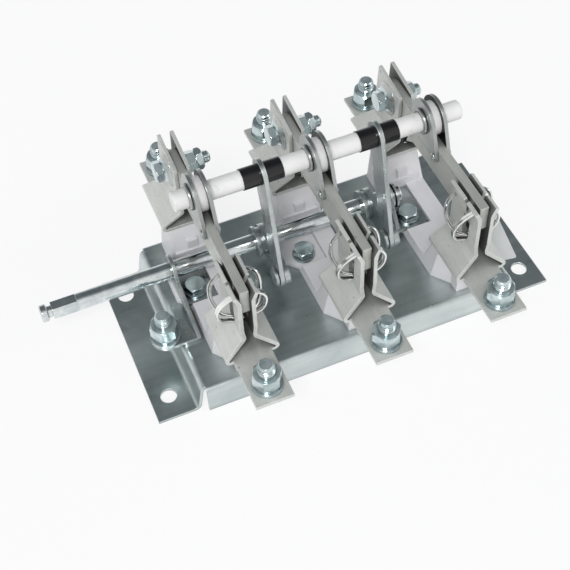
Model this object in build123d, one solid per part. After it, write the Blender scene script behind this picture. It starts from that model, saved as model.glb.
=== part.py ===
from build123d import *
import os
from math import cos, radians, sin, sqrt, tan

# Three-pole open knife disconnector with a side shaft drive, shown closed.
# X runs along the drive shaft, Y to the hinge side, Z up. The origin is the middle
# of the four mounting holes, on the mounting plane.

# Base plate, one folded sheet, and the poles on it
pole_pitch = 80.0
plateau_margin = 32.5
plateau_height = 23.0
sheet = 2.0
step_run = 3.5
foot_width = 28.5
base_depth = 126.0
sheet_bend = 4.0
lip_bend = 2.5
lip_gap = 2.0
hole_end_margin = 12.5
hole_side_margin = 17.0
mount_hole = 11.0

# Contacts, folded from one strip
contact_rise = 31.0
strip = 2.5
strip_bend = 2.4
contact_half = 18.0
neck_gap = 4.6
slope_angle = 45.0
clasp_rise = 8.0
blade_clearance = 0.2
jaw_reach = 55.0
jaw_length = 39.0
jaw_plate_length = 33.0
jaw_height = 58.0
flare_height = 6.0
flare_spread = 2.6
finger_slot = 3.0
finger_slot_inset = 14.0
finger_slot_depth = 11.5
loop_strip = 2.0
loop_radius = 11.0
loop_drop = 23.5
loop_inset = 10.0
loop_width = 6.5
loop_cut = 0.6
loop_seat_angle = 15.0
spring_wire = 2.0
spring_bow = 9.3
spring_bow_length = 9.0
spring_bend = 4.5
spring_hook_bend = 2.4
spring_end_drop = 2.2
spring_end_inset = 7.0
spring_overhang = 1.8
spring_clearance = 0.05
hinge_reach = 57.0
hinge_rise = 46.5
hinge_contact_shift = 10.0
hinge_contact_length = 44.0
hinge_plate_length = 34.0
hinge_plate_height = 64.0
hinge_plate_fall = 4.0
palm_width = 25.0
front_palm = 37.0
rear_palm = 23.5
front_bolt_margin = 13.0
rear_bolt_margin = 10.5

# Insulators
spine_rise = 8.0
block_half = 14.0
block_foot_half = 17.0
toe_half = 7.5
toe_length = 8.0
toe_taper = 12.0
jaw_overhang = 14.5
hinge_overhang = 27.0
block_inset = 0.5
block_lean = 8.0
flange_reach = 24.0
flange_front_reach = 25.0
flange_rise = 3.5
flange_chamfer = 11.0
moulding_round = 1.2
ledge_half = 13.0
ledge_rise = 14.0
rib_half = 3.8
rib_rise = 21.5
rib_setback = 1.5

# Blades, one thick bar each
blade_thickness = 6.0
blade_height = 23.0
blade_inset = 3.5
blade_nose = 4.0
hinge_pin = 8.0
running_clearance = 0.05

# Rod across the blades with its ears, collars and sleeves
rod_reach = 49.0
rod_rise = 21.5
rod_diameter = 13.0
rod_left_overhang = 17.0
rod_right_overhang = 21.0
rod_chamfer = 0.8
ear_plate = 2.5
ear_radius = 15.0
ear_tip_reach = 19.0
ear_tip_rise = 5.0
ear_tip_radius = 3.0
collar_diameter = 23.0
sleeve_wall = 0.6
sleeve_length = 27.0
sleeve_offset = 38.0

# Drive shaft
shaft_reach = 34.0
shaft_rise = 18.0
shaft_diameter = 12.0
shaft_overhang = 80.5
shaft_tail = 9.0
shaft_flat_width = 10.0
shaft_flat_length = 17.0
shaft_neck_diameter = 8.0
shaft_neck_length = 3.0
shaft_head_length = 5.0
shaft_chamfer = 0.8
ring_diameter = 18.0
ring_width = 1.6
ring_gap = 0.3
ring_space = 1.6

# Levers on the shaft and links up to the rod
lever_plate = 4.0
lever_reach = 38.0
lever_rise = 5.0
lever_hub_diameter = 22.0
lever_hub_length = 9.0
lever_eye_diameter = 14.0
lever_pin_diameter = 8.0
lever_collar_diameter = 19.0
lever_collar_width = 2.0
link_plate = 3.0
link_side_gap = 0.4
link_width = 15.0
link_eye_wall = 3.0
link_rod_clearance = 0.1
pin_play = 1.4
pin_cap = 2.0
pin_cap_diameter = 13.0

# Shaft brackets
bracket_plate = 2.5
bracket_offset = 22.0
bracket_front_reach = 23.0
bracket_top_radius = 11.0
bracket_foot = 24.0
foot_clearance = 0.5
shaft_play = 0.05
earth_offset = 8.5
earth_reach = 39.5
earth_tab_half = 10.0

# Fasteners
bolt_diameter = 10.0
bolt_hole = 11.0
bolt_flats = 17.0
bolt_head = 6.5
nut_height = 8.5
washer_diameter = 20.0
washer_height = 2.0
spring_washer_diameter = 17.0
spring_washer_height = 2.4
spring_washer_slit = 1.4
terminal_stud = 9.0
stud_chamfer = 1.0
hinge_flats = 13.0
hinge_head = 5.5
hinge_nut = 6.5
hinge_lock_nut = 5.0
hinge_dome_diameter = 25.0
hinge_dome_top_diameter = 14.0
hinge_dome_height = 3.5
hinge_washer_diameter = 16.0
hinge_washer_height = 1.5
hinge_stud = 5.0
clamp_offset = 10.0
clamp_reach = 13.0
clamp_diameter = 8.0
clamp_hole = 9.0
clamp_flats = 13.0
clamp_head = 5.3
clamp_washer_diameter = 16.0
clamp_washer_height = 1.6
clamp_nut = 6.5
earth_nut = 10.0
earth_stud = 9.0
earth_head = 2.5
earth_head_diameter = 14.0
hex_corner_share = 2 / sqrt(3)
hex_chamfer_share = 0.09

# Places worked out from the sizes above
pole_places = {"left": -pole_pitch, "middle": 0.0, "right": pole_pitch}
plateau_half = pole_pitch + plateau_margin
base_half = plateau_half + step_run + foot_width
lip_half = plateau_half - lip_gap
half_strip = strip / 2
contact_seat = plateau_height + contact_rise
contact_top = contact_seat + strip
blade_half = blade_thickness / 2
clasp_half = blade_half + blade_clearance + half_strip
clasp_outer = clasp_half + half_strip
neck_half = neck_gap / 2 + half_strip
foot_line = contact_seat + half_strip
slope_rise = tan(radians(slope_angle))
foot_corner_half = contact_half - half_strip + strip_bend * (1 / tan(radians(slope_angle) / 2) - 1)
neck_z = foot_line + (foot_corner_half - neck_half) * slope_rise
plate_shoulder = neck_z + strip
clasp_z = neck_z + clasp_rise
jaw_top = contact_seat + jaw_height
jaw_front = -jaw_reach - jaw_length / 2
jaw_rear = -jaw_reach + jaw_length / 2
jaw_plate_front = -jaw_reach - jaw_plate_length / 2
jaw_plate_rear = -jaw_reach + jaw_plate_length / 2
front_palm_end = jaw_front - front_palm
front_bolt_y = front_palm_end + front_bolt_margin
loop_front = jaw_plate_front + loop_inset
loop_rear = loop_front + loop_width
loop_z = jaw_top - loop_drop
loop_hollow = loop_radius - loop_strip
hinge_y = hinge_reach
hinge_z = contact_seat + hinge_rise
hinge_contact_middle = hinge_y + hinge_contact_shift
hinge_contact_front = hinge_contact_middle - hinge_contact_length / 2
hinge_contact_rear = hinge_contact_middle + hinge_contact_length / 2
hinge_plate_front = hinge_y - hinge_plate_length / 2
hinge_plate_rear = hinge_y + hinge_plate_length / 2
hinge_top = contact_seat + hinge_plate_height
hinge_bore = hinge_pin + 2 * running_clearance
rear_palm_end = hinge_contact_rear + rear_palm
rear_bolt_y = rear_palm_end - rear_bolt_margin
spine_top = plateau_height + spine_rise
insulator_front = jaw_front + jaw_overhang
insulator_rear = hinge_contact_rear - hinge_overhang
front_block_rear = jaw_rear - block_inset
rear_block_front = hinge_contact_front + block_inset
blade_front = jaw_plate_front + blade_inset
rod_y = hinge_y - rod_reach
rod_z = hinge_z + rod_rise
ear_tip_y = rod_y - ear_tip_reach
ear_tip_z = hinge_z + ear_tip_rise
sleeve_diameter = rod_diameter + 2 * sleeve_wall
shaft_y = hinge_y - shaft_reach
shaft_z = plateau_height + shaft_rise
shaft_left = -plateau_half - shaft_overhang
shaft_right = pole_pitch - bracket_offset + bracket_plate + shaft_tail
lever_pin_y = shaft_y - lever_reach
lever_pin_z = shaft_z + lever_rise
flange_top = plateau_height + flange_rise
flange_front = shaft_y - flange_front_reach
flange_rear = rear_block_front - block_lean
clamp_y = shaft_y - clamp_reach
earth_x = -plateau_half - earth_offset
earth_y = shaft_y - earth_reach

os.makedirs("parts", exist_ok=True)


def save(name, shape):
    """Write one node."""
    export_step(shape, os.path.join("parts", name + ".step"))


def strip_profile(points, thickness, bend):
    """A sheet's cross-section: a bent centre line of even thickness."""
    return trace(FilletPolyline(*points, radius=bend), line_width=thickness)


def along_y(face, start, end):
    """Extrude a cross-section drawn in XZ from one Y to another."""
    solid = extrude(Plane.XZ * face, amount=(end - start) / 2, both=True)
    return Pos(0, (start + end) / 2, 0) * solid


def along_x(face, start, end):
    """Extrude a side view drawn in YZ from one X to another."""
    solid = extrude(Plane.YZ * face, amount=(end - start) / 2, both=True)
    return Pos((start + end) / 2, 0, 0) * solid


def upright(diameter, x, y, low, high):
    """A round bar along Z."""
    return Pos(x, y, (low + high) / 2) * Cylinder(diameter / 2, high - low)


def crossbar(diameter, y, z, start, end):
    """A round bar along X."""
    return Pos((start + end) / 2, y, z) * Rot(0, 90, 0) * Cylinder(diameter / 2, end - start)


def block(x, y, z):
    """A box given by its lowest and highest X, Y and Z."""
    middle = Pos((x[0] + x[1]) / 2, (y[0] + y[1]) / 2, (z[0] + z[1]) / 2)
    return middle * Box(x[1] - x[0], y[1] - y[0], z[1] - z[0])


def hexagon(flats, low, high):
    """A hexagon along Z at the origin, with its corners turned off at both ends."""
    corner = flats * hex_corner_share / 2
    prism = extrude(RegularPolygon(radius=corner, side_count=6), amount=high - low)
    turned = Cylinder(corner, high - low, align=(Align.CENTER, Align.CENTER, Align.MIN))
    turned = chamfer(turned.edges().filter_by(GeomType.CIRCLE), hex_chamfer_share * flats)
    return Pos(0, 0, low) * (prism & turned)


def stud(diameter, low, high):
    """A bolt's shank along Z at the origin, chamfered at its free upper end."""
    bar = upright(diameter, 0, 0, low, high)
    return chamfer(bar.edges().filter_by(GeomType.CIRCLE).sort_by(Axis.Z)[-1], stud_chamfer)


def nut_stack(seat, height):
    """Washer, slit spring washer and nut on a seat, with the height of the nut's top."""
    top = seat + washer_height
    stack = upright(washer_diameter, 0, 0, seat, top)
    ring = upright(spring_washer_diameter, 0, 0, top, top + spring_washer_height)
    slit = (-spring_washer_slit / 2, spring_washer_slit / 2)
    ring -= block(slit, (-spring_washer_diameter, 0), (top, top + spring_washer_height))
    top += spring_washer_height
    stack += Rot(0, 0, 40) * ring
    stack += hexagon(bolt_flats, top, top + height)
    return stack, top + height


def base_plate():
    """Hat-shaped sheet with folded front and rear walls and four holes."""
    low = sheet / 2
    high = plateau_height - sheet / 2
    foot = plateau_half + step_run
    line = [(-base_half, low), (-foot, low), (-plateau_half, high)]
    line += [(plateau_half, high), (foot, low), (base_half, low)]
    edge = base_depth / 2
    plate = along_y(strip_profile(line, sheet, sheet_bend), -edge, edge)
    for side in (-1, 1):
        lip = [(side * (edge - lip_bend), high), (side * (edge + lip_bend), high)]
        lip += [(side * (edge + lip_bend), 0)]
        plate += along_x(strip_profile(lip, sheet, lip_bend), -lip_half, lip_half)
    spacing_x = 2 * (base_half - hole_end_margin)
    spacing_y = base_depth - 2 * hole_side_margin
    plate -= GridLocations(spacing_x, spacing_y, 2, 2) * Cylinder(mount_hole / 2, plateau_height)
    for x in pole_places.values():
        plate -= upright(clamp_hole, x - clamp_offset, clamp_y, 0, 2 * plateau_height)
    return plate


def insulator():
    """One moulded insulator: spine, two blocks and a flange on the left."""
    taper_end = insulator_front + toe_length
    taper_start = taper_end + toe_taper
    plan = Polygon(
        (-block_foot_half, insulator_rear),
        (-block_foot_half, taper_start),
        (-toe_half, taper_end),
        (-toe_half, insulator_front),
        (toe_half, insulator_front),
        (toe_half, taper_end),
        (block_foot_half, taper_start),
        (block_foot_half, insulator_rear),
        align=None,
    )
    outline = extrude(Pos(0, 0, plateau_height) * plan, amount=contact_rise, dir=(0, 0, 1))
    side = Polygon(
        (insulator_front, plateau_height),
        (insulator_front, contact_seat),
        (front_block_rear, contact_seat),
        (front_block_rear + block_lean, spine_top),
        (rear_block_front - block_lean, spine_top),
        (rear_block_front, contact_seat),
        (insulator_rear, contact_seat),
        (insulator_rear, plateau_height),
        align=None,
    )
    front = Polygon(
        (-block_foot_half, plateau_height),
        (-block_half, contact_seat),
        (block_half, contact_seat),
        (block_foot_half, plateau_height),
        align=None,
    )
    body = outline & along_x(side, -block_foot_half, block_foot_half)
    body &= along_y(front, insulator_front, insulator_rear)
    flange_face = Polygon(
        (0, flange_front),
        (flange_chamfer - flange_reach, flange_front),
        (-flange_reach, flange_front + flange_chamfer),
        (-flange_reach, flange_rear),
        (0, flange_rear),
        align=None,
    )
    flange = extrude(Pos(0, 0, plateau_height) * flange_face, amount=flange_rise, dir=(0, 0, 1))
    pocket_end = bracket_foot - bracket_offset + foot_clearance
    body -= block((-flange_reach, pocket_end), (flange_front, flange_rear), (flange_top, contact_seat))
    body += flange
    upper = body.edges().filter_by(Axis.Z, reverse=True).group_by(Axis.Z)[-1]
    body = fillet(upper, moulding_round)
    shelf = (flange_rear, rear_block_front)
    body += block((-ledge_half, ledge_half), shelf, (spine_top, plateau_height + ledge_rise))
    rib_y = (flange_rear + rib_setback, rear_block_front)
    body += block((-rib_half, rib_half), rib_y, (spine_top, plateau_height + rib_rise))
    body -= upright(clamp_hole, -clamp_offset, clamp_y, 0, contact_seat)
    return body


def contact_section(top, flare):
    """Cross-section of a contact: flat foot, sloping sides, narrow neck, two plates."""
    half = [(foot_corner_half, foot_line), (neck_half, neck_z), (clasp_half, clasp_z)]
    if flare:
        half += [(clasp_half, top - flare_height), (clasp_half + flare_spread, top)]
    else:
        half += [(clasp_half, top)]
    mirrored = [(-x, z) for x, z in reversed(half)]
    return strip_profile(mirrored + half, strip, strip_bend)


def palm(start, end, bolt_y):
    """Terminal palm reaching out from a contact's foot."""
    across = (-palm_width / 2, palm_width / 2)
    plate = block(across, (min(start, end), max(start, end)), (contact_seat, contact_top))
    return plate - upright(bolt_hole, 0, bolt_y, contact_seat - strip, contact_top + strip)


def spring_loop(side):
    """Half ring lanced out of a jaw's plate, which a spring passes through."""
    ring = Circle(loop_radius) - Circle(loop_hollow)
    outer = Pos(side * loop_radius / 2, 0) * Rectangle(loop_radius, 2 * loop_radius)
    return along_y(Pos(side * clasp_half, loop_z) * (ring & outer), loop_front, loop_rear)


def jaw():
    """Front contact that clasps the blade with two fingers a side."""
    body = along_y(contact_section(jaw_top, True), jaw_front, jaw_rear)
    reach = contact_half + flare_spread
    side = Polygon(
        (jaw_front, contact_seat),
        (jaw_front, contact_top + strip),
        (jaw_plate_front, plate_shoulder),
        (jaw_plate_front, jaw_top + strip),
        (jaw_plate_rear, jaw_top + strip),
        (jaw_plate_rear, plate_shoulder),
        (jaw_rear, contact_top + strip),
        (jaw_rear, contact_seat),
        align=None,
    )
    body &= along_x(side, -reach, reach)
    slot_y = jaw_plate_front + finger_slot_inset
    slot = (slot_y - finger_slot / 2, slot_y + finger_slot / 2)
    body -= block((-reach, reach), slot, (jaw_top - finger_slot_depth, jaw_top + strip))
    window = (loop_front - loop_cut, loop_rear + loop_cut)
    body -= block((-reach, reach), window, (loop_z - loop_hollow, loop_z + loop_hollow))
    body += [spring_loop(-1), spring_loop(1)]
    return body + palm(jaw_front + strip, front_palm_end, front_bolt_y)


def spring(side):
    """Wire spring beside a jaw: out from the rear finger, through the loop, up to the front finger."""
    end_z = jaw_top - flare_height - spring_end_drop
    rear = (side * clasp_half, jaw_plate_rear - spring_end_inset, end_z)
    front = (side * clasp_half, jaw_plate_front + spring_end_inset, end_z)
    seat = loop_hollow - spring_wire / 2 - spring_clearance
    run = clasp_half + seat * cos(radians(loop_seat_angle))
    low_z = loop_z - seat * sin(radians(loop_seat_angle))
    bow = clasp_outer + spring_bow
    bow_y = jaw_plate_rear - spring_end_inset - spring_wire
    path = FilletPolyline(
        rear,
        (side * bow, bow_y, end_z - spring_bend),
        (side * bow, bow_y, end_z - spring_bend - spring_bow_length),
        (side * run, loop_rear + spring_overhang, low_z),
        (side * run, loop_front - spring_overhang, low_z),
        front,
        radius=[spring_bend, spring_bend, spring_hook_bend, spring_hook_bend],
    )
    section = Plane(origin=path @ 0, z_dir=path % 0) * Circle(spring_wire / 2)
    wire = sweep(section, path=path)
    gap = (-clasp_outer, clasp_outer)
    return wire - block(gap, (jaw_front, jaw_rear), (contact_seat, jaw_top))


def hinge_contact():
    """Rear contact that carries the blade's hinge bolt."""
    start = min(hinge_plate_front, hinge_contact_front)
    body = along_y(contact_section(hinge_top, False), start, hinge_contact_rear)
    side = Polygon(
        (hinge_contact_front, contact_seat),
        (hinge_contact_front, contact_top + strip),
        (hinge_plate_front, plate_shoulder),
        (hinge_plate_front, hinge_top - hinge_plate_fall),
        (hinge_plate_rear - strip, hinge_top),
        (hinge_plate_rear + strip, plate_shoulder),
        (hinge_contact_rear, contact_top + strip),
        (hinge_contact_rear, contact_seat),
        align=None,
    )
    body &= along_x(side, -contact_half, contact_half)
    body -= crossbar(hinge_bore, hinge_y, hinge_z, -contact_half, contact_half)
    return body + palm(hinge_contact_rear - strip, rear_palm_end, rear_bolt_y)


def blade():
    """Moving blade: a thick bar, rounded at the hinge."""
    half = blade_height / 2
    bar = Polygon(
        (hinge_y, hinge_z - half),
        (blade_front + blade_nose, hinge_z - half),
        (blade_front, hinge_z - half + blade_nose),
        (blade_front, hinge_z + half),
        (hinge_y, hinge_z + half),
        align=None,
    )
    face = bar + Pos(hinge_y, hinge_z) * Circle(half)
    face -= Pos(hinge_y, hinge_z) * Circle(hinge_bore / 2)
    return along_x(face, -blade_half, blade_half)


def ears():
    """The pair of ears on one blade, riveted to its outer sides."""
    big = Pos(rod_y, rod_z) * Circle(ear_radius)
    tip = Pos(ear_tip_y, ear_tip_z) * Circle(ear_tip_radius)
    face = make_hull(big.edges() + tip.edges()) - Pos(rod_y, rod_z) * Circle(rod_diameter / 2)
    left = along_x(face, -blade_half - ear_plate, -blade_half)
    return [left, along_x(face, blade_half, blade_half + ear_plate)]


def collar():
    """Spacer on the rod between two ears, standing on the blade's top edge."""
    ring = crossbar(collar_diameter, rod_y, rod_z, -blade_half, blade_half)
    ring -= crossbar(rod_diameter, rod_y, rod_z, -contact_half, contact_half)
    reach = (rod_y - collar_diameter, rod_y + collar_diameter)
    return ring - block((-contact_half, contact_half), reach, (contact_seat, hinge_z + blade_height / 2))


def sleeve():
    """Black sleeve on the rod that a link turns on."""
    start = -sleeve_offset - sleeve_length / 2
    tube = crossbar(sleeve_diameter, rod_y, rod_z, start, start + sleeve_length)
    return tube - crossbar(rod_diameter, rod_y, rod_z, start, start + sleeve_length)


def link():
    """Flat link from a lever pin up to an eye round the rod's sleeve."""
    bore = sleeve_diameter + 2 * link_rod_clearance
    eye = Pos(rod_y, rod_z) * Circle(bore / 2 + link_eye_wall)
    foot = Pos(lever_pin_y, lever_pin_z) * Circle(link_width / 2)
    face = make_hull(eye.edges() + foot.edges())
    face -= Pos(rod_y, rod_z) * Circle(bore / 2)
    face -= Pos(lever_pin_y, lever_pin_z) * Circle(lever_pin_diameter / 2 + pin_play)
    return along_x(face, -sleeve_offset - link_plate / 2, -sleeve_offset + link_plate / 2)


def lever():
    """Crank on the shaft: hub with end collars, flat arm and the pin that a link hangs on."""
    side_x = -sleeve_offset + link_plate / 2 + link_side_gap
    end = side_x + lever_plate
    hub_face = Pos(shaft_y, shaft_z) * Circle(lever_hub_diameter / 2)
    eye_face = Pos(lever_pin_y, lever_pin_z) * Circle(lever_eye_diameter / 2)
    body = along_x(make_hull(hub_face.edges() + eye_face.edges()), side_x, end)
    hub_start = end - lever_hub_length
    body += crossbar(lever_collar_diameter, shaft_y, shaft_z, hub_start, end)
    body += crossbar(lever_hub_diameter, shaft_y, shaft_z, hub_start, hub_start + lever_collar_width)
    pin_start = -sleeve_offset - link_plate / 2 - link_side_gap
    body += crossbar(lever_pin_diameter, lever_pin_y, lever_pin_z, pin_start, end)
    body += crossbar(pin_cap_diameter, lever_pin_y, lever_pin_z, pin_start - pin_cap, pin_start)
    return body - crossbar(shaft_diameter, shaft_y, shaft_z, hub_start, end)


def shaft():
    """Drive shaft with a flatted driving end, a neck and an end head."""
    flat_start = shaft_left + shaft_head_length + shaft_neck_length
    neck_start = flat_start - shaft_neck_length
    bar = crossbar(shaft_diameter, shaft_y, shaft_z, flat_start, shaft_right)
    body = chamfer(bar.edges().filter_by(GeomType.CIRCLE).sort_by(Axis.X)[-1], shaft_chamfer)
    body += crossbar(shaft_neck_diameter, shaft_y, shaft_z, neck_start, flat_start)
    head = crossbar(shaft_diameter, shaft_y, shaft_z, shaft_left, neck_start)
    body += chamfer(head.edges().filter_by(GeomType.CIRCLE), shaft_chamfer)
    length = (flat_start, flat_start + shaft_flat_length)
    half = shaft_flat_width / 2
    wide = (shaft_y - shaft_diameter, shaft_y + shaft_diameter)
    tall = (shaft_z - shaft_diameter, shaft_z + shaft_diameter)
    blank = block(length, wide, tall)
    blank -= block(length, (shaft_y - half, shaft_y + half), (shaft_z - half, shaft_z + half))
    return body - blank


def rings():
    """Retaining rings on the shaft beside the right bracket."""
    left_face = pole_pitch - bracket_offset
    right_face = left_face + bracket_plate
    near = right_face + ring_gap
    made = []
    for start in (left_face - ring_gap - ring_width, near, near + ring_width + ring_space):
        ring = crossbar(ring_diameter, shaft_y, shaft_z, start, start + ring_width)
        made.append(ring - crossbar(shaft_diameter, shaft_y, shaft_z, start, start + ring_width))
    return made


def bracket(tab):
    """Angle bracket that carries the shaft, with an earthing tab on the left one."""
    inner = -bracket_offset
    outer = inner + bracket_plate
    foot_rear = flange_rear - foot_clearance
    face = Polygon(
        (shaft_y - bracket_front_reach, flange_top),
        (foot_rear, flange_top),
        (shaft_y + bracket_top_radius, shaft_z),
        (shaft_y - bracket_top_radius, shaft_z),
        align=None,
    )
    face += Pos(shaft_y, shaft_z) * Circle(bracket_top_radius)
    tab_front = earth_y - earth_tab_half
    if tab:
        face += Polygon(
            (tab_front, plateau_height),
            (flange_front - foot_clearance, plateau_height),
            (flange_front - foot_clearance, flange_top),
            (shaft_y, flange_top),
            (shaft_y - bracket_top_radius, shaft_z),
            (tab_front, plateau_height + bracket_plate),
            align=None,
        )
    foot_y = (shaft_y - bracket_front_reach, foot_rear)
    body = along_x(face, inner, outer)
    body += block((inner, inner + bracket_foot), foot_y, (flange_top, flange_top + bracket_plate))
    if tab:
        bolt_x = earth_x + pole_pitch
        tab_y = (tab_front, earth_y + earth_tab_half)
        tab_top = plateau_height + bracket_plate
        plate = block((bolt_x, outer), tab_y, (plateau_height, tab_top))
        plate += upright(2 * earth_tab_half, bolt_x, earth_y, plateau_height, tab_top)
        body += plate - upright(bolt_hole, bolt_x, earth_y, 0, shaft_z)
    bore = shaft_diameter + 2 * shaft_play
    body -= crossbar(bore, shaft_y, shaft_z, inner - bracket_plate, outer + bracket_plate)
    body -= upright(clamp_hole, -clamp_offset, clamp_y, 0, shaft_z)
    return body


def terminal_bolt(y):
    """Terminal bolt: head under the palm, washers and nut on top."""
    stack, top = nut_stack(contact_top, nut_height)
    body = hexagon(bolt_flats, contact_seat - bolt_head, contact_seat) + stack
    body += stud(bolt_diameter, contact_seat, top + terminal_stud)
    return Pos(0, y, 0) * body


def hinge_bolt(locked):
    """Hinge bolt across a rear contact: head and domed washer left, washer and nuts right."""
    dome_top = clasp_outer + hinge_dome_height
    dome = Cone(hinge_dome_diameter / 2, hinge_dome_top_diameter / 2, hinge_dome_height)
    body = Pos(0, 0, -clasp_outer - hinge_dome_height / 2) * Rot(180, 0, 0) * dome
    body += hexagon(hinge_flats, -dome_top - hinge_head, -dome_top)
    nut_seat = clasp_outer + hinge_washer_height
    body += upright(hinge_washer_diameter, 0, 0, clasp_outer, nut_seat)
    top = nut_seat + hinge_nut
    body += hexagon(hinge_flats, nut_seat, top)
    if locked:
        body += Rot(0, 0, 20) * hexagon(hinge_flats, top, top + hinge_lock_nut)
        top += hinge_lock_nut
    body += stud(hinge_pin, -dome_top, top + hinge_stud)
    return Pos(0, hinge_y, hinge_z) * Rot(0, 90, 0) * body


def clamp_bolt(seat):
    """Bolt that holds an insulator, and a bracket's foot, to the base plate."""
    under = plateau_height - sheet
    top = seat + clamp_washer_height
    body = hexagon(clamp_flats, top, top + clamp_head)
    body += upright(clamp_washer_diameter, 0, 0, seat, top)
    body += Rot(0, 0, 30) * hexagon(clamp_flats, under - clamp_nut, under)
    body += upright(clamp_diameter, 0, 0, under, top)
    return Pos(-clamp_offset, clamp_y, 0) * body


def earth_bolt():
    """Earthing bolt on the left bracket's tab: low head below, washers and nut on top."""
    seat = plateau_height + bracket_plate
    stack, top = nut_stack(seat, earth_nut)
    body = upright(earth_head_diameter, 0, 0, plateau_height - earth_head, plateau_height) + stack
    body += stud(bolt_diameter, plateau_height, top + earth_stud)
    return Pos(earth_x, earth_y, 0) * body


springs = []
for name, x in pole_places.items():
    at = Pos(x, 0, 0)
    save("insulator_" + name, at * insulator())
    save("jaw_" + name, at * jaw())
    springs += [at * spring(-1), at * spring(1)]
    save("hinge_contact_" + name, at * hinge_contact())
    save("blade_" + name, at * blade())
    save("ears_" + name, at * Compound(children=ears()))
    save("collar_" + name, at * collar())
    save("front_terminal_bolt_" + name, at * terminal_bolt(front_bolt_y))
    save("rear_terminal_bolt_" + name, at * terminal_bolt(rear_bolt_y))
    save("hinge_bolt_" + name, at * hinge_bolt(name != "right"))
    seat = flange_top if name == "middle" else flange_top + bracket_plate
    save("clamp_bolt_" + name, at * clamp_bolt(seat))

for name, pole in (("left", "middle"), ("right", "right")):
    at = Pos(pole_places[pole], 0, 0)
    save("sleeve_" + name, at * sleeve())
    save("link_" + name, at * link())
    save("lever_" + name, at * lever())

save("base_plate", base_plate())
save("jaw_springs", Compound(children=springs))
save("bracket_left", Pos(-pole_pitch, 0, 0) * bracket(True))
save("bracket_right", Pos(pole_pitch, 0, 0) * bracket(False))
save("earth_bolt", earth_bolt())
save("shaft", shaft())
save("shaft_rings", Compound(children=rings()))
rod = crossbar(rod_diameter, rod_y, rod_z, -pole_pitch - rod_left_overhang, pole_pitch + rod_right_overhang)
save("rod", chamfer(rod.edges().filter_by(GeomType.CIRCLE), rod_chamfer))
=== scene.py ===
import math

import bmesh
import bpy
from mathutils import Matrix, Vector

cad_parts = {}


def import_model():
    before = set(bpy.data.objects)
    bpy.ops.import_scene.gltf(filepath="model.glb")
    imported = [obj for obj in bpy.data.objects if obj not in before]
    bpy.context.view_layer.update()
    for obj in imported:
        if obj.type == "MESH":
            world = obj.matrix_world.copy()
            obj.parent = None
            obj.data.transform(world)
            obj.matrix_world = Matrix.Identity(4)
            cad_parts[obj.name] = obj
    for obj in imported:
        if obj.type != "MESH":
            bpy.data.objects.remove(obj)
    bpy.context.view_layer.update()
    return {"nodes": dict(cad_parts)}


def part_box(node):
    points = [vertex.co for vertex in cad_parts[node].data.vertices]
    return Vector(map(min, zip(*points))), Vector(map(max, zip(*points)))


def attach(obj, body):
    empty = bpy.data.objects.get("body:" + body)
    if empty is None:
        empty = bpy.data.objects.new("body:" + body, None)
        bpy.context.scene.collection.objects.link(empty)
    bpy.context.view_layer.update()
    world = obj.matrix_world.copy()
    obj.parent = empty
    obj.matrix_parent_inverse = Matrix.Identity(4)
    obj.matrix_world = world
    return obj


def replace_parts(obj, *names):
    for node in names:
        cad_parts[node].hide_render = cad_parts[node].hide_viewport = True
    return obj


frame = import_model()
nodes = frame["nodes"]
scene = bpy.context.scene
scene.view_settings.view_transform = "Standard"

# Lengths are in metres, in the frame that the solids share: X runs along the drive shaft,
# Y to the hinge side and Z up from the mounting plane.
PITCH = 0.080
POLES = {"left": -PITCH, "middle": 0.0, "right": PITCH}
SIDES = (-1, 1)
HINGE = Vector((0.0, 0.057, 0.1005))
FLANGE_TOP = 0.002
FOOT_TOP = 0.0565

FULL_TURN = 2 * math.pi
TO_RIGHT = Matrix.Rotation(math.radians(90), 4, "Y")
TO_LEFT = Matrix.Rotation(math.radians(-90), 4, "Y")


def turns(steps):
    """The angles of equal steps round a circle."""
    return [FULL_TURN * k / steps for k in range(steps)]


# Node helpers

MID = {"start": 0.3, "end": 0.7}  # the values that most of a noise lies between
PURE_WHITE = (1.0, 1.0, 1.0)
# Used for the painted shade on the inner faces of plate pairs.
INNER_FROM = 0.001  # how far from the pole's middle an inner face is at least


def grey(tone):
    return (tone, tone, tone)


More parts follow.
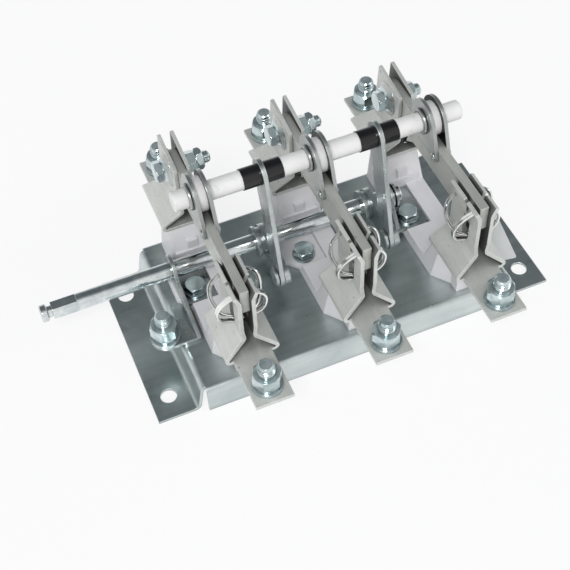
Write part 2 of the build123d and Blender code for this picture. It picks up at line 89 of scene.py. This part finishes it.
class Graph:
    """Adds and links the nodes of one material or world."""

    def __init__(self, tree):
        self.tree = tree
        tree.nodes.clear()

    def add(self, kind, inputs=None, **settings):
        """A new node with its settings, and with a value or a link on each input given."""
        node = self.tree.nodes.new("ShaderNode" + kind)
        for key, value in settings.items():
            setattr(node, key, value)
        for key, value in (inputs or {}).items():
            socket = node.inputs[key]
            if isinstance(value, bpy.types.NodeSocket):
                self.tree.links.new(value, socket)
            else:
                socket.default_value = value
        return node

    def place(self):
        """Where a point is in its object."""
        return self.add("TexCoord").outputs["Object"]

    def normal(self):
        """Which way the surface faces."""
        return self.add("NewGeometry").outputs["Normal"]

    def math(self, operation, *values):
        return self.add("Math", dict(enumerate(values)), operation=operation).outputs[0]

    def vector(self, operation, *values):
        return self.add("VectorMath", dict(enumerate(values)), operation=operation).outputs

    def dot(self, a, b):
        return self.vector("DOT_PRODUCT", a, b)["Value"]

    def noise(self, scale, detail=4.0, rough=0.55, stretch=(1, 1, 1), distortion=0.0):
        """Cloudy values about a half, with the place scaled a side by the stretch."""
        place = self.add("Mapping", {"Vector": self.place(), "Scale": stretch}).outputs[0]
        inputs = {"Vector": place, "Scale": scale, "Detail": detail}
        inputs.update({"Roughness": rough, "Distortion": distortion})
        return self.add("TexNoise", inputs).outputs["Fac"]

    def ramp(self, value, *stops):
        """The colour that a value has between stops of (value, colour)."""
        node = self.add("ValToRGB", {"Fac": value})
        ramp = node.color_ramp
        while len(ramp.elements) < len(stops):
            ramp.elements.new(0.5)
        for element, (position, colour) in zip(ramp.elements, stops):
            element.position = position
            element.color = (*colour, 1.0)
        return node.outputs["Color"]

    def spots(self, value, start, end, colour):
        """White, with a colour where the value is above its start."""
        return self.ramp(value, (start, PURE_WHITE), (end, colour))

    def span(self, value, low, high, start=0.0, end=1.0):
        """A value from start to end, spread from low to high."""
        inputs = {"Value": value, "From Min": start, "From Max": end}
        inputs.update({"To Min": low, "To Max": high})
        return self.add("MapRange", inputs).outputs["Result"]

    def mix(self, share, a, b, blend="MIX"):
        """Colour a with a share of colour b."""
        inputs = {0: share}
        for index, colour in ((6, a), (7, b)):
            linked = isinstance(colour, bpy.types.NodeSocket)
            inputs[index] = colour if linked else (*colour, 1.0)
        return self.add("Mix", inputs, data_type="RGBA", blend_type=blend).outputs[2]

    def multiply(self, colour, tone, share=1.0):
        return self.mix(share, colour, tone, "MULTIPLY")

    def rounded(self, radius):
        """A normal that rounds sharp edges."""
        return self.add("Bevel", {"Radius": radius}, samples=6).outputs[0]

    def edge_brightened(self, colour, soft, edge_share, bright):
        """The colour, brighter at sharp edges, where the rounded normal leaves the true one."""
        near = self.span(self.dot(soft, self.normal()), 1.0, 0.0, start=0.72)
        return self.mix(self.math("MULTIPLY", near, edge_share), colour, bright)

    def crevice_shade(self, colour, distance, tone):
        """The colour, with painted shade where other surfaces stand close round a point."""
        node = self.add("AmbientOcclusion", {"Distance": distance}, samples=8)
        shade = self.ramp(node.outputs["AO"], (0.10, grey(tone)), (0.75, PURE_WHITE))
        return self.multiply(colour, shade)

    def inner_face_shade(self, colour, tone):
        """The colour, with painted shade on those faces of a pair of plates that look at each
        other.
        """
        x = self.add("SeparateXYZ", {0: self.place()}).outputs["X"]
        from_pole = self.math("WRAP", x, PITCH / 2, -PITCH / 2)
        facing = self.add("SeparateXYZ", {0: self.normal()}).outputs["X"]
        outward = self.math("MULTIPLY", from_pole, facing)
        inward = self.math("LESS_THAN", outward, -INNER_FROM)
        return self.mix(inward, colour, self.multiply(colour, grey(tone)))

    def bump(self, height, distance, strength, normal=None):
        inputs = {"Height": height, "Distance": distance, "Strength": strength}
        if normal is not None:
            inputs["Normal"] = normal
        return self.add("Bump", inputs).outputs[0]

    def finish(self, colour, rough, normal, metallic):
        inputs = {"Base Color": colour, "Roughness": rough}
        inputs.update({"Normal": normal, "Metallic": metallic})
        shader = self.add("BsdfPrincipled", inputs)
        self.add("OutputMaterial", {"Surface": shader.outputs[0]})


# Materials

BRIGHT_EDGE = (0.93, 0.94, 0.94)
BLUE_ZINC = (0.42, 0.51, 0.53)


def material(name):
    made = bpy.data.materials.new(name)
    made.use_nodes = True
    return made, Graph(made.node_tree)


def sheet_metal(name, dark, light, edge, rough, stretch, metallic=1.0, speck=0.0, edge_share=0.6,
                grain=1.0, cloud_size=34.0, shade_reach=0.009, shade_tone=0.30, inner_shade_tone=None):
    """Rolled or plated sheet: clouded tone, fine rolling lines, specks, brighter sharp edges,
    painted shade.
    """
    made, g = material(name)
    cloud = g.noise(cloud_size, detail=5.0, rough=0.6, distortion=0.4)
    lines = g.noise(260.0, detail=3.0, rough=0.6, stretch=stretch)
    colour = g.mix(g.span(cloud, 0.0, 1.0, **MID), dark, light)
    line_tone = g.ramp(lines, (0.3, grey(0.86)), (0.7, grey(1.08)))
    colour = g.multiply(colour, line_tone, share=0.55)
    if speck:
        dots = g.noise(900.0, detail=2.0, rough=0.5)
        colour = g.multiply(colour, g.spots(dots, 0.66, 0.72, (0.55, 0.54, 0.52)), share=speck)
        nicks = g.noise(330.0, detail=1.0, rough=0.5)
        colour = g.multiply(colour, g.spots(nicks, 0.765, 0.78, (0.40, 0.39, 0.38)))
    soft = g.rounded(0.0007)
    colour = g.edge_brightened(colour, soft, edge_share, edge)
    # Painted shade where other surfaces stand close round a point.
    colour = g.crevice_shade(colour, shade_reach, shade_tone)
    # Painted shade on plate faces that look at each other, as on the ears and jaws.
    if inner_shade_tone:
        colour = g.inner_face_shade(colour, inner_shade_tone)
    blotch = g.noise(75.0, rough=0.65)
    uneven = g.math("ADD", g.math("MULTIPLY", blotch, 0.6), g.math("MULTIPLY", lines, 0.4))
    shine = g.span(uneven, rough - 0.09, rough + 0.11, **MID)
    normal = g.bump(lines, distance=0.00006 * grain, strength=0.35, normal=soft)
    pits = g.noise(700.0, detail=3.0)
    normal = g.bump(pits, distance=0.00008 * grain, strength=0.25, normal=normal)
    g.finish(colour, shine, normal, metallic)
    return made


def plating(name, dark, light, rough, tint, stretch=(1, 1, 1), dull_top=0.0):
    """Bright zinc on turned and pressed pieces: faint colour film, tool lines, duller tops,
    painted shade.
    """
    made, g = material(name)
    film = g.noise(120.0, detail=3.0, rough=0.5, distortion=0.6)
    colour = g.mix(g.span(film, 0.0, 1.0, start=0.35, end=0.65), dark, light)
    tinted = g.span(g.noise(55.0, detail=2.0), 0.0, 0.45, start=0.5, end=0.75)
    colour = g.mix(tinted, colour, tint)
    soft = g.rounded(0.0004)
    colour = g.edge_brightened(colour, soft, 0.5, BRIGHT_EDGE)
    # Painted shade in crevices, where other surfaces stand close.
    colour = g.crevice_shade(colour, distance=0.008, tone=0.12)
    lines = g.noise(480.0, detail=2.0, rough=0.5, stretch=stretch)
    shine = g.span(g.noise(210.0, rough=0.6), rough - 0.06, rough + 0.10, **MID)
    normal = g.bump(lines, distance=0.00004, strength=0.3, normal=soft)
    upward = g.dot(g.normal(), (0.0, 0.0, 1.0))
    g.finish(colour, shine, normal, g.span(upward, 1.0, 1.0 - dull_top, start=0.93, end=0.99))
    return made


def moulding(name, dark, light, rough, fleck):
    """Moulded plastic: soft mottling, fine texture and paler sharp edges."""
    made, g = material(name)
    cloud = g.noise(28.0, rough=0.6)
    colour = g.mix(g.span(cloud, 0.0, 1.0, start=0.32, end=0.68), dark, light)
    dirt = g.noise(160.0, detail=5.0, rough=0.7, distortion=0.3)
    colour = g.multiply(colour, g.spots(dirt, 0.58, 0.72, (0.68, 0.66, 0.62)), share=fleck)
    soft = g.rounded(0.0006)
    paler = tuple(1.06 * c for c in light)
    colour = g.edge_brightened(colour, soft, 0.4, paler)
    shine = g.span(g.noise(90.0), rough - 0.05, rough + 0.08, **MID)
    texture = g.noise(850.0, detail=3.0, rough=0.6)
    normal = g.bump(texture, distance=0.00006, strength=0.25, normal=soft)
    g.finish(colour, shine, normal, metallic=0.0)
    return made


def hinge_finish():
    """Bright bolt at the hinge axis, with a duller, ringed dome washer round it."""
    made, g = material("hinge_zinc")
    from_axis = g.vector("ADD", g.place(), (0.0, -HINGE.y, -HINGE.z))["Vector"]
    outward = g.vector("MULTIPLY", from_axis, (0.0, 1.0, 1.0))["Vector"]
    radius = g.vector("LENGTH", outward)["Value"]
    washer = g.span(radius, 0.0, 1.0, start=0.0085, end=0.0092)
    film = g.noise(120.0, detail=3.0, rough=0.5, distortion=0.6)
    bright = g.mix(film, BLUE_ZINC, (0.70, 0.78, 0.79))
    dull = g.mix(film, (0.42, 0.44, 0.43), (0.58, 0.60, 0.58))
    soft = g.rounded(0.0004)
    colour = g.edge_brightened(g.mix(washer, bright, dull), soft, 0.5, BRIGHT_EDGE)
    blotch = g.span(g.noise(210.0, rough=0.6), 0.08, 0.24, **MID)
    shine = g.math("ADD", blotch, g.math("MULTIPLY", washer, 0.12))
    rings = g.math("SINE", g.math("MULTIPLY", radius, 5200.0))
    washer_rings = g.math("MULTIPLY", rings, washer)
    normal = g.bump(washer_rings, distance=0.00012, strength=0.35, normal=soft)
    g.finish(colour, shine, normal, metallic=1.0)
    return made


def ring_finish():
    """Rings on the shaft: bright turned rims, and flat faces painted near black as shade."""
    made, g = material("ring_zinc")
    along = g.math("ABSOLUTE", g.dot(g.normal(), (1.0, 0.0, 0.0)))
    face = g.span(along, 0.0, 1.0, start=0.5, end=0.8)
    film = g.noise(160.0, detail=3.0, rough=0.5, distortion=0.5)
    rim = g.mix(film, (0.62, 0.65, 0.66), (0.84, 0.86, 0.86))
    # Painted shade: the flat faces, which face along the shaft, are near black.
    dark = g.mix(film, (0.035, 0.038, 0.040), (0.085, 0.09, 0.095))
    shine = g.span(g.noise(210.0, rough=0.6), 0.12, 0.30, **MID)
    normal = g.bump(film, distance=0.00004, strength=0.3, normal=g.rounded(0.0003))
    g.finish(g.mix(face, rim, dark), shine, normal, metallic=1.0)
    return made


def polished(name, light, dark, start, end):
    """Polished spring steel: bright, with a painted dark reflection along the side that faces up
    and out.
    """
    made, g = material(name)
    # Painted reflection: the dark colour goes on the side that faces up and out.
    facing = g.dot(g.normal(), (-0.45, -0.62, 0.64))
    patchy = g.span(g.noise(150.0, detail=2.0), 0.6, 1.0, start=0.3, end=0.6)
    painted_reflection = g.math("MULTIPLY", g.span(facing, 0.0, 1.0, start, end), patchy)
    film = g.mix(g.noise(120.0, detail=3.0), tuple(0.88 * c for c in light), light)
    # Painted shade where other surfaces stand close.
    colour = g.crevice_shade(g.mix(painted_reflection, film, dark), distance=0.004, tone=0.4)
    shine = g.span(g.noise(240.0, detail=3.0), 0.07, 0.18, **MID)
    normal = g.bump(g.noise(500.0, detail=2.0), distance=0.00002, strength=0.2)
    g.finish(colour, shine, normal, metallic=1.0)
    return made


BASE = sheet_metal("galvanised_sheet", dark=(0.47, 0.53, 0.535), light=(0.67, 0.72, 0.715),
                   edge=(0.86, 0.90, 0.90), rough=0.33, stretch=(0.06, 1.0, 1.0),
                   grain=0.12, cloud_size=17.0)
CONTACT = sheet_metal("tinned_strip", dark=(0.58, 0.595, 0.57), light=(0.68, 0.695, 0.665),
                      edge=(0.90, 0.91, 0.88), rough=0.46, stretch=(1.0, 0.10, 1.0),
                      metallic=0.35, speck=0.75, edge_share=0.8, grain=1.6,
                      shade_reach=0.016, shade_tone=0.12, inner_shade_tone=0.32)
BLADE = sheet_metal("blade_strip", dark=(0.50, 0.51, 0.48), light=(0.63, 0.64, 0.60),
                    edge=(0.82, 0.82, 0.79), rough=0.42, stretch=(1.0, 0.05, 1.0),
                    metallic=0.5, speck=0.6, edge_share=0.7, grain=1.3)
EAR = sheet_metal("ear_plate", dark=(0.37, 0.39, 0.385), light=(0.50, 0.52, 0.51),
                  edge=(0.80, 0.82, 0.81), rough=0.32, stretch=(1.0, 1.0, 0.08),
                  metallic=0.9, speck=0.3, edge_share=0.8,
                  shade_reach=0.015, shade_tone=0.2, inner_shade_tone=0.10)
LINK = sheet_metal("zinc_plate", dark=(0.46, 0.50, 0.50), light=(0.62, 0.655, 0.65),
                   edge=(0.90, 0.92, 0.92), rough=0.29, stretch=(1.0, 1.0, 0.08), edge_share=0.8)
SHAFT = plating("turned_zinc", dark=(0.58, 0.62, 0.63), light=(0.82, 0.85, 0.85),
                rough=0.11, tint=(0.60, 0.68, 0.71), stretch=(0.3, 6.0, 6.0))
BOLT = plating("bolt_zinc", dark=BLUE_ZINC, light=(0.66, 0.75, 0.765),
               rough=0.15, tint=(0.34, 0.50, 0.54), dull_top=0.3)
GREY = moulding("grey_moulding", dark=(0.66, 0.655, 0.675), light=(0.73, 0.725, 0.745),
                rough=0.42, fleck=0.5)
WHITE = moulding("white_rod", dark=(0.74, 0.74, 0.73), light=(0.82, 0.82, 0.815),
                 rough=0.36, fleck=0.7)
BLACK = moulding("black_sleeve", dark=(0.005, 0.005, 0.006), light=(0.011, 0.011, 0.012),
                 rough=0.15, fleck=0.2)
LABEL = moulding("blank_label", dark=(0.74, 0.75, 0.75), light=(0.80, 0.805, 0.80),
                 rough=0.5, fleck=0.35)
HINGE_BOLT = hinge_finish()
RINGS = ring_finish()
WIRE = polished("spring_wire", light=(0.94, 0.94, 0.93), dark=(0.08, 0.085, 0.09),
                start=0.85, end=0.92)
STRIP = polished("polished_strip", light=(0.94, 0.945, 0.93), dark=(0.30, 0.31, 0.31),
                 start=0.93, end=0.985)

# How the names of the nodes start, with the finish of each. The first that fits counts.
FINISHES = {
    "base_plate": BASE, "insulator_": GREY, "jaw_springs": WIRE, "jaw_": CONTACT,
    "hinge_contact_": CONTACT, "blade_": BLADE, "ears_": EAR, "collar_": WHITE, "rod": WHITE,
    "sleeve_": BLACK, "link_": LINK, "lever_": LINK, "bracket_": LINK,
    "shaft_rings": RINGS, "shaft": SHAFT, "hinge_bolt_": HINGE_BOLT,
}


def finish_for(name):
    """The finish of a node; those not listed are bolts."""
    return next((made for start, made in FINISHES.items() if name.startswith(start)), BOLT)


for node_name, node_object in nodes.items():
    node_object.data.materials.clear()
    node_object.data.materials.append(finish_for(node_name))


# Meshes and pieces

def mesh_from(name, bm, smooth=False):
    """The mesh of a bmesh with its normals outward, and smooth, if asked, but for end faces."""
    bmesh.ops.recalc_face_normals(bm, faces=bm.faces)
    mesh = bpy.data.meshes.new(name)
    bm.to_mesh(mesh)
    bm.free()
    for face in mesh.polygons:
        face.use_smooth = smooth and len(face.vertices) <= 4
    return mesh


def piece(name, mesh, chosen, body):
    """An object with the mesh, which moves with a body."""
    obj = bpy.data.objects.new(name, mesh)
    scene.collection.objects.link(obj)
    if not mesh.materials:
        mesh.materials.append(chosen)
    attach(obj, body)
    return obj


def set_down(obj, place, turn=Matrix.Identity(4)):
    """Turns a piece that was made at the origin, and moves it to its place."""
    obj.data.transform(Matrix.Translation(Vector(place)) @ turn)


def middle(low, high):
    return [(a + b) / 2 for a, b in zip(low, high)]


def skin(bm, rows):
    """Faces over rows of points that each go once round a bar, and over its two ends."""
    for low, high in zip(rows, rows[1:]):
        for k in range(len(low)):
            j = (k + 1) % len(low)
            bm.faces.new((low[k], low[j], high[j], high[k]))
    bm.faces.new(rows[0])
    bm.faces.new(rows[-1])


def revolve(name, profile, steps, solid=True):
    """A mesh turned about Z from (radius, height) points: a solid, or a ring closed on itself."""
    bm = bmesh.new()
    rows = []
    for radius, height in profile:
        around = turns(steps) if radius else [0.0]
        rows.append([bm.verts.new((radius * math.cos(a), radius * math.sin(a), height))
                     for a in around])
    for low, high in zip(rows, rows[1:] if solid else rows[1:] + rows[:1]):
        for i in range(steps):
            j = (i + 1) % steps
            corners = (low[i % len(low)], low[j % len(low)],
                       high[j % len(high)], high[i % len(high)])
            bm.faces.new(list(dict.fromkeys(corners)))
    for end in (rows[0], rows[-1]):
        if solid and len(end) > 1:
            bm.faces.new(end)
    return mesh_from(name, bm, smooth=True)


# Threads: the ridge's half widths at its foot and crest, as shares of the pitch
THREAD_FOOT_SHARE = 0.36
THREAD_CREST_SHARE = 0.08
THREAD_SUNK = 0.0001
THREAD_STEPS = 20
STUD_RADIUS = 0.005
STUD_TALL = 0.0085
EARTH_STUD_TALL = 0.0087
STUD_TIP = 0.0012
HINGE_STUD_RADIUS = 0.004
HINGE_STUD_LONG = 0.0052


def thread(name, radius, pitch, length, proud):
    """A helical ridge round a stud along Z, from zero to its length, that fades at both ends."""
    bm = bmesh.new()
    count = int(length / pitch * THREAD_STEPS)
    rows = []
    for i in range(count + 1):
        angle = FULL_TURN * i / THREAD_STEPS
        height = length * i / count
        crest = proud * min(1.0, i / THREAD_STEPS, (count - i) / THREAD_STEPS)
        ridge = ((-THREAD_FOOT_SHARE, -THREAD_SUNK), (-THREAD_CREST_SHARE, crest),
                 (THREAD_CREST_SHARE, crest), (THREAD_FOOT_SHARE, -THREAD_SUNK))
        row = []
        for share, out in ridge:
            reach = radius + out
            z = min(max(height + share * pitch, 0.0), length)
            row.append(bm.verts.new((reach * math.cos(angle), reach * math.sin(angle), z)))
        rows.append(row)
    skin(bm, rows)
    return piece(name, mesh_from(name, bm), BOLT, "frame")


def threads():
    """The threads at the ends of the terminal, hinge and earthing bolts."""
    for pole in POLES:
        for end in ("front", "rear"):
            low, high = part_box(end + "_terminal_bolt_" + pole)
            x, y, _ = middle(low, high)
            obj = thread(end + "_thread_" + pole, STUD_RADIUS, pitch=0.0020,
                         length=STUD_TALL - STUD_TIP, proud=0.0007)
            set_down(obj, (x, y, high.z - STUD_TALL))
        low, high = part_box("hinge_bolt_" + pole)
        _, y, z = middle(low, high)
        obj = thread("hinge_thread_" + pole, HINGE_STUD_RADIUS, pitch=0.0015,
                     length=0.0042, proud=0.0003)
        set_down(obj, (high.x - HINGE_STUD_LONG, y, z), TO_RIGHT)
    low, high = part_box("earth_bolt")
    x, y, _ = middle(low, high)
    obj = thread("earth_thread", STUD_RADIUS, pitch=0.0019,
                 length=EARTH_STUD_TALL - STUD_TIP, proud=0.0004)
    set_down(obj, (x, y, high.z - EARTH_STUD_TALL))


# Rivets: (radius, height) points of the dome, and where the rivets are
RIVET_DOME = [(0.0026, 0.0), (0.0026, 0.0003), (0.0022, 0.0009), (0.0013, 0.0014),
              (0.0, 0.0016)]
RIVET_STEPS = 24
EAR_RIVET_Y, EAR_RIVET_Z = -0.0102, 0.1062
FOOT_RIVETS = ((-0.0064, 0.054), (0.0086, 0.054), (-0.008, -0.046), (0.007, -0.046))


def rivets():
    """A rivet on the outside of each ear, and two on each foot of the contacts."""
    for pole, pole_x in POLES.items():
        low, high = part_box("ears_" + pole)
        for side, face, turn in (("left", low.x, TO_LEFT), ("right", high.x, TO_RIGHT)):
            name = "ear_rivet_" + side + "_" + pole
            mesh = revolve(name, RIVET_DOME, RIVET_STEPS)
            obj = piece(name, mesh, LINK, "blades")
            set_down(obj, (face, EAR_RIVET_Y, EAR_RIVET_Z), turn)
        for index, (from_pole, y) in enumerate(FOOT_RIVETS):
            name = "foot_rivet_%d_%s" % (index, pole)
            mesh = revolve(name, RIVET_DOME, RIVET_STEPS)
            obj = piece(name, mesh, LINK, "frame")
            set_down(obj, (pole_x + from_pole, y, FOOT_TOP))


BUSH = [(0.0066, 0.0), (0.0086, 0.0), (0.0088, 0.0003), (0.0086, 0.0019), (0.0080, 0.0022),
        (0.0066, 0.0022)]
BUSH_STEPS = 40


def bushes():
    """A thin bush round the rod on the left of each pair of ears."""
    for pole in POLES:
        low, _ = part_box("ears_" + pole)
        rod_low, rod_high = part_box("rod")
        _, y, z = middle(rod_low, rod_high)
        name = "rod_bush_" + pole
        mesh = revolve(name, BUSH, BUSH_STEPS, solid=False)
        obj = piece(name, mesh, EAR, "blades")
        set_down(obj, (low.x, y, z), TO_LEFT)


LABEL_CORNER = Vector((0.1358, -0.0366, 0.0))
LABEL_WIDE = 0.017
LABEL_TALL = 0.042
LABEL_THICK = 0.00015
LABEL_ROUND = 0.0015
LABEL_ROUND_STEPS = 5
LABEL_TURN = math.radians(9.4)


def label():
    """A blank label with round corners on the right flange of the base."""
    along = Vector((math.sin(LABEL_TURN), math.cos(LABEL_TURN), 0.0))
    across = Vector((-math.cos(LABEL_TURN), math.sin(LABEL_TURN), 0.0))
    wide, tall = LABEL_WIDE - LABEL_ROUND, LABEL_TALL - LABEL_ROUND
    corners = ((LABEL_ROUND, LABEL_ROUND, 180), (wide, LABEL_ROUND, 270),
               (wide, tall, 0), (LABEL_ROUND, tall, 90))
    outline = []
    for a, b, start in corners:
        for k in range(LABEL_ROUND_STEPS + 1):
            angle = math.radians(start + 90 * k / LABEL_ROUND_STEPS)
            x, y = a + LABEL_ROUND * math.cos(angle), b + LABEL_ROUND * math.sin(angle)
            outline.append(LABEL_CORNER + across * x + along * y)
    bm = bmesh.new()
    skin(bm, [[bm.verts.new(point + Vector((0, 0, z))) for point in outline]
              for z in (FLANGE_TOP, FLANGE_TOP + LABEL_THICK)])
    piece("blank_label", mesh_from("blank_label", bm), LABEL, "frame")


# The jaws' loops and springs. The routes are control points in millimetres, with X outward
# from the pole's middle.
LOOP_ROUTE = [(4.6, -65.0, 107.6), (10.6, -62.4, 102.2), (16.6, -60.6, 92.4),
              (15.2, -60.0, 82.6), (9.6, -60.0, 79.0), (4.6, -60.0, 78.6)]
LOOP_HALF_WIDTH = 0.0019
LOOP_HALF_THICK = 0.00095
LOOP_POWER = 0.6  # rounds the loop's section: 1 for an ellipse, 0 for a rectangle
LOOP_STEPS = 28
GROOVE_DEEP = 0.0006
GROOVE_HALF_WIDTH = 0.0005
# A box round the broad loop of the solids, with X outward from the pole's middle
BROAD_LOOP_LOW = (0.00572, -0.0624, 0.0772)
BROAD_LOOP_HIGH = (0.020, -0.0542, 0.1004)
SPRING_ROUTE = [(5.0, -41.3, 102.2), (10.4, -44.0, 103.0), (15.6, -47.8, 101.8),
                (16.4, -51.0, 94.0), (13.6, -55.2, 87.0), (11.4, -58.4, 83.8),
                (4.6, -60.6, 82.2)]
WIRE_RADIUS = 0.00135
WIRE_STEPS = 16


def smooth_line(pole_x, side, route):
    """Points, with the line's direction, along the spline of a route on one side of a pole."""
    curve = bpy.data.curves.new("route", "CURVE")
    curve.dimensions = "3D"
    spline = curve.splines.new("NURBS")
    spline.points.add(len(route) - 1)
    for point, (x, y, z) in zip(spline.points, route):
        point.co = (pole_x + side * x / 1000, y / 1000, z / 1000, 1.0)
    spline.order_u = 3
    spline.use_endpoint_u = True
    spline.resolution_u = 10
    obj = bpy.data.objects.new("route", curve)
    mesh = bpy.data.meshes.new_from_object(obj)
    line = [vertex.co.copy() for vertex in mesh.vertices]
    bpy.data.objects.remove(obj)
    bpy.data.curves.remove(curve)
    bpy.data.meshes.remove(mesh)
    befores, afters = line[:1] + line[:-1], line[1:] + line[-1:]
    return [(point, (after - before).normalized())
            for point, before, after in zip(line, befores, afters)]


def wire(bm, pole_x, side):
    """A round spring wire, closed at both ends."""
    rows = []
    for point, ahead in smooth_line(pole_x, side, SPRING_ROUTE):
        a = ahead.cross(Vector((0, 0, 1))).normalized()
        b = ahead.cross(a)
        rows.append([bm.verts.new(point + (a * math.cos(turn) + b * math.sin(turn)) * WIRE_RADIUS)
                     for turn in turns(WIRE_STEPS)])
    skin(bm, rows)


def rounded_share(value):
    return math.copysign(abs(value) ** LOOP_POWER, value)


def loop(bm, pole_x, side):
    """A narrow grooved strip that stands out of a jaw's plate in a bow."""
    rows = []
    for point, ahead in smooth_line(pole_x, side, LOOP_ROUTE):
        wide = (Vector((0, 1, 0)) - ahead * ahead.y).normalized()
        out = ahead.cross(wide) * side
        row = []
        for turn in turns(LOOP_STEPS):
            across = LOOP_HALF_WIDTH * rounded_share(math.cos(turn))
            rise = LOOP_HALF_THICK * rounded_share(math.sin(turn))
            if abs(across) < GROOVE_HALF_WIDTH:
                rise -= math.copysign(GROOVE_DEEP, rise)
            row.append(bm.verts.new(point + wide * across + out * rise))
        rows.append(row)
    skin(bm, rows)


def loop_cutter(pole_x, side):
    """A box round a solid's broad loop, to cut it off with."""
    bm = bmesh.new()
    xs = sorted(pole_x + side * corner[0] for corner in (BROAD_LOOP_LOW, BROAD_LOOP_HIGH))
    ys, zs = list(zip(BROAD_LOOP_LOW, BROAD_LOOP_HIGH))[1:]
    corners = [bm.verts.new((x, y, z)) for x in xs for y in ys for z in zs]
    for face in ((0, 1, 3, 2), (4, 6, 7, 5), (0, 4, 5, 1),
                 (2, 3, 7, 6), (0, 2, 6, 4), (1, 5, 7, 3)):
        bm.faces.new([corners[i] for i in face])
    obj = bpy.data.objects.new("cutter", mesh_from("cutter", bm))
    scene.collection.objects.link(obj)
    return obj


def jaws():
    """The jaws as the solids have them, with the broad loops cut off and narrow ones set in."""
    for pole, pole_x in POLES.items():
        name = "jaw_contact_" + pole
        work = bpy.data.objects.new("work", nodes["jaw_" + pole].data.copy())
        scene.collection.objects.link(work)
        cutters = [loop_cutter(pole_x, side) for side in SIDES]
        for cutter in cutters:
            cut = work.modifiers.new("cut", "BOOLEAN")
            cut.operation, cut.solver, cut.object = "DIFFERENCE", "EXACT", cutter
        depsgraph = bpy.context.evaluated_depsgraph_get()
        mesh = bpy.data.meshes.new_from_object(work.evaluated_get(depsgraph))
        mesh.name = name
        for gone in [work] + cutters:
            data = gone.data
            bpy.data.objects.remove(gone)
            bpy.data.meshes.remove(data)
        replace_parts(piece(name, mesh, CONTACT, "frame"), "jaw_" + pole)
        name = "jaw_loops_" + pole
        bm = bmesh.new()
        for side in SIDES:
            loop(bm, pole_x, side)
        piece(name, mesh_from(name, bm, smooth=True), STRIP, "frame")


def springs():
    """The jaws' springs, each a wire from the rear finger through the loop to the window."""
    name = "jaw_spring_wires"
    bm = bmesh.new()
    for pole_x in POLES.values():
        for side in SIDES:
            wire(bm, pole_x, side)
    obj = piece(name, mesh_from(name, bm, smooth=True), WIRE, "frame")
    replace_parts(obj, "jaw_springs")


threads()
rivets()
bushes()
label()
jaws()
springs()


# Floor, light and camera

FLOOR_RADIUS = 7.0
FLOOR_STEPS = 96
FLOOR_GLOW = 0.82  # the share of plain white in what the camera and the metal see of the floor
SKY_STRENGTH = 0.84
DARK_SKY = Vector((0.18, 0.50, 0.85)).normalized()
AIM = Vector((0, 0, 0.05))


def floor():
    mesh = bpy.data.meshes.new("floor")
    rim = [(FLOOR_RADIUS * math.cos(a), FLOOR_RADIUS * math.sin(a), 0)
           for a in turns(FLOOR_STEPS)]
    mesh.from_pydata(rim, [], [list(range(FLOOR_STEPS))])
    made, g = material("pale_floor")
    tone = g.mix(g.noise(1.2, detail=2.0), grey(0.90), grey(0.92))
    plain = g.add("BsdfDiffuse", {"Color": tone}).outputs[0]
    white = g.add("Emission", {"Color": (*PURE_WHITE, 1.0), "Strength": 1.0}).outputs[0]
    path = g.add("LightPath").outputs
    seen = g.math("MAXIMUM", path["Is Camera Ray"], path["Is Glossy Ray"])
    glow = g.math("MULTIPLY", seen, FLOOR_GLOW)
    both = g.add("MixShader", {0: glow, 1: plain, 2: white})
    g.add("OutputMaterial", {"Surface": both.outputs[0]})
    mesh.materials.append(made)
    obj = bpy.data.objects.new("floor", mesh)
    scene.collection.objects.link(obj)


def world():
    """A white sky with a dark patch above and behind, which the upper faces reflect."""
    made = bpy.data.worlds.new("studio")
    scene.world = made
    made.use_nodes = True
    g = Graph(made.node_tree)
    near = g.dot(g.add("TexCoord").outputs["Generated"], DARK_SKY)
    tone = g.ramp(near, (0.25, PURE_WHITE), (0.55, (0.78, 0.79, 0.80)),
                  (0.78, (0.30, 0.32, 0.33)), (0.92, (0.17, 0.19, 0.20)))
    back = g.add("Background", {"Color": tone, "Strength": SKY_STRENGTH})
    g.add("OutputWorld", {"Surface": back.outputs[0]})


def lamp(name, place, size, power):
    """A round lamp that shines at the part."""
    data = bpy.data.lights.new(name, "AREA")
    data.shape = "DISK"
    data.size = size
    data.energy = power
    obj = bpy.data.objects.new(name, data)
    obj.location = place
    obj.rotation_euler = (AIM - Vector(place)).to_track_quat("-Z", "Y").to_euler()
    scene.collection.objects.link(obj)


def camera():
    """The camera that was fitted to the photograph."""
    data = bpy.data.cameras.new("camera")
    data.sensor_width = 36.0
    data.lens = 73.565
    data.clip_end = 50.0
    obj = bpy.data.objects.new("camera", data)
    place = (-0.20323, -0.47030, 0.65122)
    right = Vector((0.92177, -0.38636, -0.03263))
    down = Vector((-0.32259, -0.7175, -0.61735))
    ahead = Vector((0.21511, 0.57958, -0.78601))
    turn = Matrix((right, -down, -ahead)).transposed().to_4x4()
    obj.matrix_world = Matrix.Translation(place) @ turn
    scene.collection.objects.link(obj)
    scene.camera = obj


floor()
world()
lamp("key", (-1.25, -1.95, 2.9), size=0.9, power=58.0)
lamp("fill", (2.2, -1.2, 1.8), size=1.2, power=8.0)
camera()
